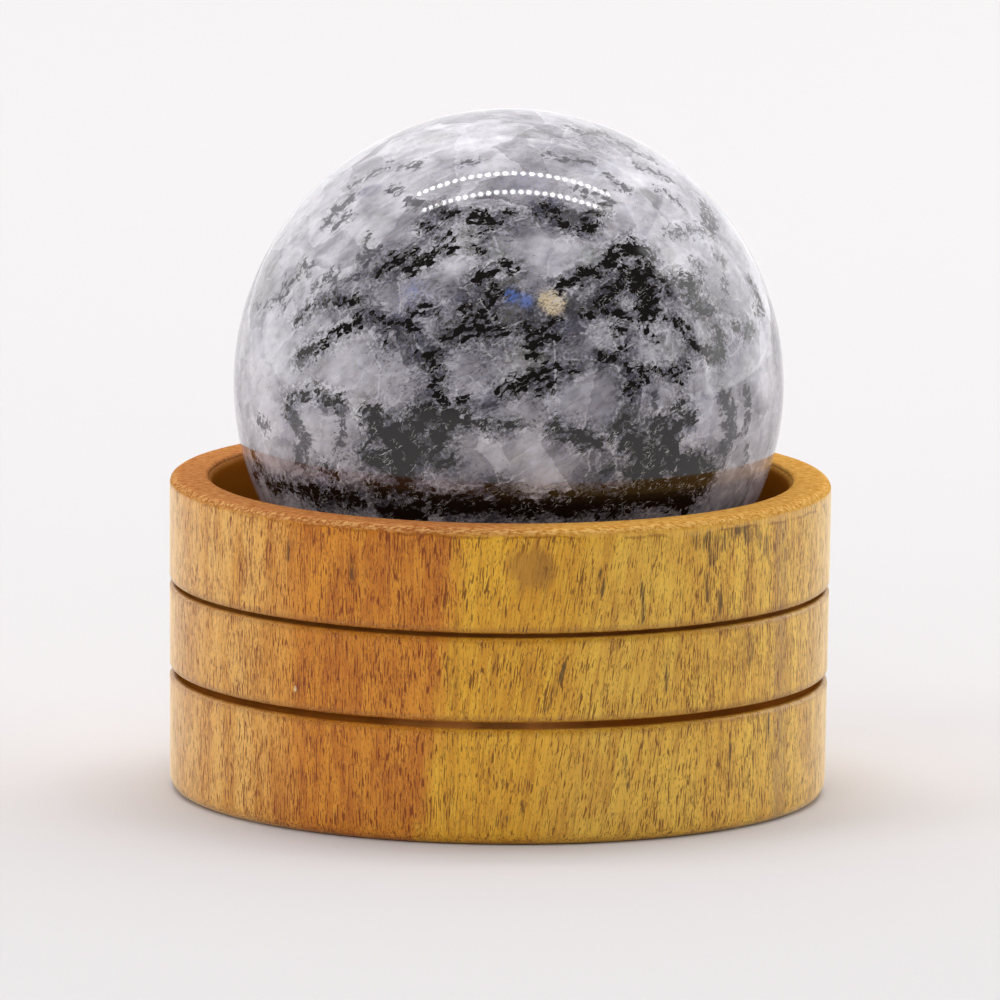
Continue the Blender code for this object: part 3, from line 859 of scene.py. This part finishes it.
def ball_distance(places, strokes):
    """Millimetres inside the nearest stroke, front and back, kept within 4."""
    laid = [(stroke[0] * MM, points) for stroke in strokes for points in both_sides(stroke[1:])]
    return np.clip(distance_to_strokes(places, laid) / MM, -4.0, 4.0)


def ball_patches(places, patches):
    """Sum of soft round patches, front and back, kept within -1 and 1."""
    total = np.zeros(len(places))
    for size, place, strength in patches:
        for points in both_sides([place]):
            gap = np.linalg.norm(places - points[0], axis=1)
            total += strength * np.exp(-((gap / (size * MM)) ** 2))
    return np.clip(total, -1.0, 1.0)


places = read_places(ball)
for attribute_name, strokes in (("black_and_cup_shade", BLACK_AND_CUP_SHADE), ("sunken", SUNKEN), ("cleavage", CLEAVAGE)):
    set_attribute(ball, attribute_name, ball_distance(places, strokes))
for attribute_name, patches in (
    ("tone_and_cup_shade", TONES_AND_CUP_SHADE), ("flash", BLUE_FLASH), ("tan", TAN_GRAIN), ("green", GREEN_TINT)
):
    set_attribute(ball, attribute_name, ball_patches(places, patches))
ball.data.transform(Matrix.Translation(ball_centre))

# Feldspar with tourmaline, mirror polished: milky and smoky grains 5 mm across with white cleavage
# lines, crisp black needles with small bright flakes that are partly painted glints, and a reflection
# as sharp as glass.
NEEDLE_TURN = math.radians(28)
GRAIN_MM = 5.0
GRAIN_BEND_MM = 1.3
NEEDLE_BEND_MM = 1.5
stone = bpy.data.materials.new("polished_feldspar")
stone.use_nodes = True
tree = stone.node_tree
object_place = add_node(tree, "TexCoord", {}, "Object")
where = add_node(tree, "VectorMath", {0: object_place, "Scale": 1 / MM}, operation="SCALE")
marks = {
    name: add_node(tree, "Attribute", {}, "Fac", attribute_name=name)
    for name in ("black_and_cup_shade", "sunken", "cleavage", "tone_and_cup_shade", "flash", "tan", "green")
}

# No border is quite straight: a noise bends grains, and clouds and needles a little more.
in_lumps = add_node(tree, "VectorMath", {0: where, 1: (2.2, 2.2, 2.2)}, operation="DIVIDE")
bend = add_node(tree, "TexNoise", {"Vector": in_lumps, "Scale": 1.0, "Detail": 3.0}, "Color")
bend = add_node(tree, "VectorMath", {0: bend, 1: (0.5, 0.5, 0.5)}, operation="SUBTRACT")
bend_inputs = {0: bend, 1: (GRAIN_BEND_MM,) * 3, 2: where}
bent_little = add_node(tree, "VectorMath", bend_inputs, operation="MULTIPLY_ADD")
bend_inputs = {0: bend, 1: (NEEDLE_BEND_MM,) * 3, 2: where}
bent = add_node(tree, "VectorMath", bend_inputs, operation="MULTIPLY_ADD")
along_needles = add_node(
    tree, "VectorRotate", {"Vector": bent, "Angle": NEEDLE_TURN}, rotation_type="Y_AXIS"
)

# Noises: where they are read, the size of their lumps in millimetres, detail and roughness.
patterns = {}
for name, read_at, lumps, detail, roughness in (
    ("cloud", bent, (2.8, 2.8, 2.8), 3.0, 0.5),
    ("wisp", along_needles, (2.4, 1.0, 0.7), 3.0, 0.55),
    ("speckle", where, (0.30, 0.30, 0.30), 3.0, 0.7),
    ("tint", where, (4.5, 4.5, 4.5), 2.0, 0.5),
    ("edge_broad", where, (1.3, 1.3, 1.3), 2.0, 0.5),
    ("edge_fine", along_needles, (0.75, 0.35, 0.26), 3.0, 0.68),
    ("fringe", along_needles, (0.80, 0.42, 0.32), 4.0, 0.72),
    ("flake_and_glint", along_needles, (1.2, 0.7, 0.4), 1.5, 0.6),
    ("flake_zone", where, (1.4, 1.4, 1.4), 2.0, 0.5),
    ("fleck", along_needles, (0.50, 0.30, 0.24), 3.0, 0.65),
):
    in_lumps = add_node(tree, "VectorMath", {0: read_at, 1: lumps}, operation="DIVIDE")
    noise_inputs = {"Vector": in_lumps, "Scale": 1.0, "Detail": detail, "Roughness": roughness}
    patterns[name] = add_node(tree, "TexNoise", noise_inputs)

# Cells of one shade each, with their size in millimetres: grains, chips of them, and crumbs
# that lie along the needles.
for name, read_at, cell_size in (
    ("grains", bent_little, (GRAIN_MM,) * 3),
    ("chips", bent_little, (1.8, 1.8, 1.8)),
    ("crumbs", along_needles, (0.75, 0.50, 0.40)),
):
    in_cells = add_node(tree, "VectorMath", {0: read_at, 1: cell_size}, operation="DIVIDE")
    cells = add_node(tree, "TexVoronoi", {"Vector": in_cells, "Scale": 1.0}, "Color")
    patterns[name] = add_node(tree, "SeparateColor", {0: cells})
grain_edge = add_node(
    tree, "TexVoronoi", {"Vector": bent_little, "Scale": 1 / GRAIN_MM}, feature="DISTANCE_TO_EDGE"
)

# How milky the feldspar is, from smoky at 0 to white at 1. It is mottled beside the black.
MILKY_MIDDLE = 0.515
milky_shares = {"grains": 0.21, "chips": 0.07, "cloud": 0.48, "wisp": 0.34, "speckle": 0.12}
middle = MILKY_MIDDLE - sum(milky_shares.values()) / 2
milky = add_node(tree, "Math", {0: marks["tone_and_cup_shade"], 1: 0.30, 2: middle}, operation="MULTIPLY_ADD")
for name, share in milky_shares.items():
    milky = add_node(tree, "Math", {0: patterns[name], 1: share, 2: milky}, operation="MULTIPLY_ADD")
near_black = add_node(tree, "MapRange", {0: marks["black_and_cup_shade"], 1: -2.1, 2: -0.2, 4: 0.95}, **smooth)
mottle = add_node(tree, "Math", {0: patterns["speckle"], 1: 0.5}, operation="SUBTRACT")
milky = add_node(tree, "Math", {0: mottle, 1: near_black, 2: milky}, operation="MULTIPLY_ADD")
crumbled = add_node(tree, "Math", {0: patterns["crumbs"], 1: 0.6}, operation="SUBTRACT")
crumbled = add_node(tree, "Math", {0: crumbled, 1: 0.45}, operation="MULTIPLY")
milky = add_node(tree, "Math", {0: crumbled, 1: near_black, 2: milky}, operation="MULTIPLY_ADD")
feldspar_ramp = add_node(tree, "ValToRGB", {0: milky}).node
stops = feldspar_ramp.color_ramp.elements
stops[0].position = 0.10
stops[1].position = 0.95
for position in (0.30, 0.50, 0.72):
    stops.new(position)
for stop, code in zip(stops, ("#3B393D", "#69666B", "#9E9AA0", "#CECBD1", "#EEECF0")):
    stop.color = (*srgb(code), 1.0)

# Levels above which each mark shows: its given distance in millimetres, made ragged.
levels = {}
for name, start, shares in (
    ("black_and_cup_shade", -1.98, (("black_and_cup_shade", 1.0), ("edge_broad", 1.3), ("edge_fine", 1.6), ("crumbs", 1.2))),
    ("fringe", -3.35, (("black_and_cup_shade", 1.2), ("fringe", 4.6), ("crumbs", 2.0))),
    ("sunken", -2.35, (("sunken", 1.0), ("fringe", 3.7), ("crumbs", 1.1))),
    ("cleavage", 0.0, (("cleavage", 1.0), ("speckle", 0.25))),
    ("tan", -0.45, (("tan", 1.0), ("speckle", 2.0))),
    ("flash", -0.3, (("flash", 1.0), ("speckle", 1.5))),
):
    level = start
    for source, share in shares:
        term = {0: marks[source] if source in marks else patterns[source], 1: share, 2: level}
        level = add_node(tree, "Math", term, operation="MULTIPLY_ADD")
    levels[name] = level

# Dark flecks crowd in smoky grains, and fine white cracks follow parts of the grain borders.
smoky = add_node(tree, "MapRange", {0: marks["tone_and_cup_shade"], 1: 0.15, 2: -0.45, 4: 0.13}, **smooth)
levels["fleck"] = add_node(tree, "Math", {0: patterns["fleck"], 1: smoky}, operation="ADD")
crack = add_node(tree, "MapRange", {0: grain_edge, 1: 0.028, 2: 0.006}, **smooth)
crack_here = add_node(tree, "MapRange", {0: patterns["wisp"], 1: 0.44, 2: 0.58}, **smooth)
crack = add_node(tree, "Math", {0: crack, 1: crack_here}, operation="MULTIPLY")

# Black with a few bright flakes, which are thin ridges of a noise: partly pale grains, partly painted
# glints.
black_and_shade_mask = add_node(tree, "MapRange", {0: levels["black_and_cup_shade"], 1: -0.02, 2: 0.08}, **smooth)
specks = add_node(tree, "MapRange", {0: levels["fringe"], 1: 0.42, 2: 0.58}, **smooth)
all_black_and_shade = add_node(tree, "Math", {0: black_and_shade_mask, 1: specks}, operation="MAXIMUM")
ridge = add_node(tree, "Math", {0: patterns["flake_and_glint"], 1: 0.5}, operation="SUBTRACT")
ridge = add_node(tree, "Math", {0: ridge}, operation="ABSOLUTE")
flake_and_glint = add_node(tree, "MapRange", {0: ridge, 1: 0.020, 2: 0.006, 4: 0.8}, **smooth)
flake_here = add_node(tree, "MapRange", {0: patterns["flake_zone"], 1: 0.50, 2: 0.58}, **smooth)
flake_and_glint = add_node(tree, "Math", {0: flake_and_glint, 1: flake_here}, operation="MULTIPLY")
black_and_cup_shade = add_node(
    tree, "Mix", {0: patterns["edge_broad"], 6: "#0B0A0A", 7: "#1A1512"}, 2, data_type="RGBA"
)
black_and_cup_shade = add_node(tree, "Mix", {0: flake_and_glint, 6: black_and_cup_shade, 7: "#B5B3B2"}, 2, data_type="RGBA")
dirty = add_node(
    tree, "Mix", {0: patterns["edge_broad"], 6: "#34342F", 7: "#4C4640"}, 2, data_type="RGBA"
)

# Layers over the feldspar, from the first to the last, given as the wood's are.
colour = feldspar_ramp.outputs[0]
for shown_by, start, full, most, layer_colour in (
    (patterns["tint"], 0.54, 0.72, 0.15, "#9492B0"),
    (patterns["tint"], 0.40, 0.26, 0.22, "#A09C90"),
    (marks["green"], 0.0, 1.0, 0.45, "#6F7E6C"),
    (levels["flash"], 0.45, 1.15, 0.55, "#5A7FD6"),
    (levels["tan"], 0.75, 1.60, 0.80, "#E2CDA6"),
    (levels["cleavage"], 0.02, 0.20, 0.58, "#D8D6DC"),
    (crack, 0.0, 1.0, 0.38, "#D8D6DC"),
    (levels["fleck"], 0.635, 0.72, 0.62, "#38373A"),
    (levels["sunken"], -0.40, 0.40, 0.84, "#353338"),
    (levels["fringe"], -0.40, 0.15, 0.78, dirty),
    (all_black_and_shade, 0.0, 1.0, 1.0, black_and_cup_shade),
):
    amount = add_node(tree, "MapRange", {0: shown_by, 1: start, 2: full, 4: most}, **smooth)
    colour = add_node(tree, "Mix", {0: amount, 6: colour, 7: layer_colour}, 2, data_type="RGBA")

roughness = add_node(tree, "MapRange", {0: all_black_and_shade, 3: 0.05, 4: 0.10})
shader = tree.nodes["Principled BSDF"]
for socket, source in (("Base Color", colour), ("Roughness", roughness)):
    tree.links.new(source, shader.inputs[socket])
shader.inputs["IOR"].default_value = 1.55
ball.data.materials.append(stone)
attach(ball, "root")
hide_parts("stone_sphere")
